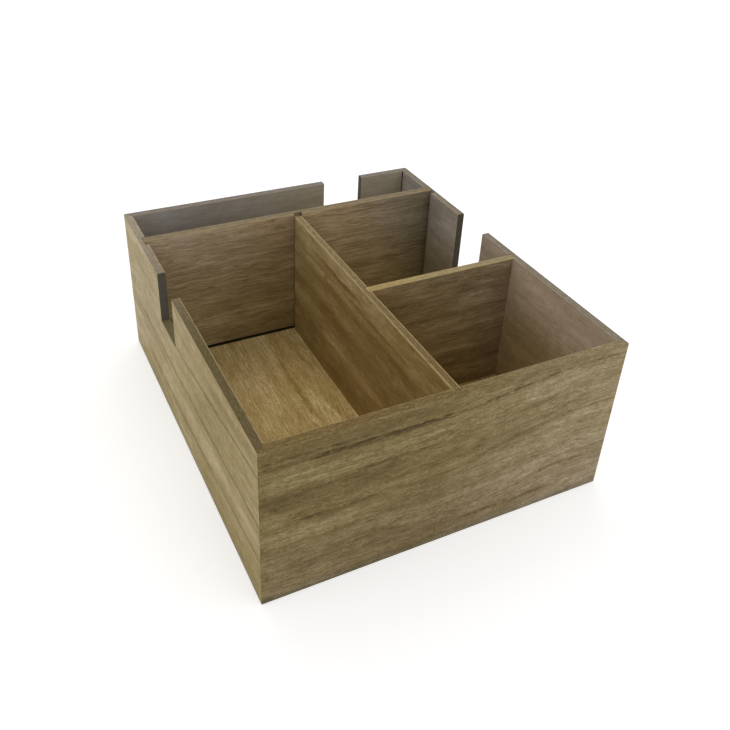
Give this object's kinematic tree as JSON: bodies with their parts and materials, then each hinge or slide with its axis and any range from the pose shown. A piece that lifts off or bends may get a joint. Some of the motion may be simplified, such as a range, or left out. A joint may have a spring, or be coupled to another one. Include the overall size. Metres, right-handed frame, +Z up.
{
  "type": "bottle caddy",
  "caption": "Open-topped wooden caddy with mitred walls, finger notches and lift-out dividers in upright grooves, for bottles, napkins and bar supplies.",
  "frame": {"origin": "middle of the outline, on the surface that the caddy stands on", "axes": "+X to the right along the front wall, +Y from the front wall to the back wall, +Z up"},
  "size_m": [0.276, 0.3236, 0.1325],
  "materials": {
    "wall_wood": "sanded, unvarnished",
    "divider_wood": "sanded, unvarnished",
    "floor_wood": "sanded, unvarnished"
  },
  "bodies": {
    "carcass": {"front_panel": "wall_wood", "back_panel": "wall_wood", "left_panel": "wall_wood", "right_panel": "wall_wood", "floor_panel": "floor_wood"},
    "rear_divider": {"rear_divider": "divider_wood"},
    "middle_divider": {"middle_divider": "divider_wood"},
    "short_divider": {"short_divider": "divider_wood"}
  },
  "joints": [
    {"name": "rear_divider_lift", "type": "slide", "parent": "carcass", "child": "rear_divider", "axis": [0, 0, 1], "range_m": [0, 0.118]},
    {"name": "middle_divider_lift", "type": "slide", "parent": "carcass", "child": "middle_divider", "axis": [0, 0, 1], "range_m": [0, 0.12]},
    {"name": "short_divider_lift", "type": "slide", "parent": "carcass", "child": "short_divider", "axis": [0, 0, 1], "range_m": [0, 0.12]}
  ]
}
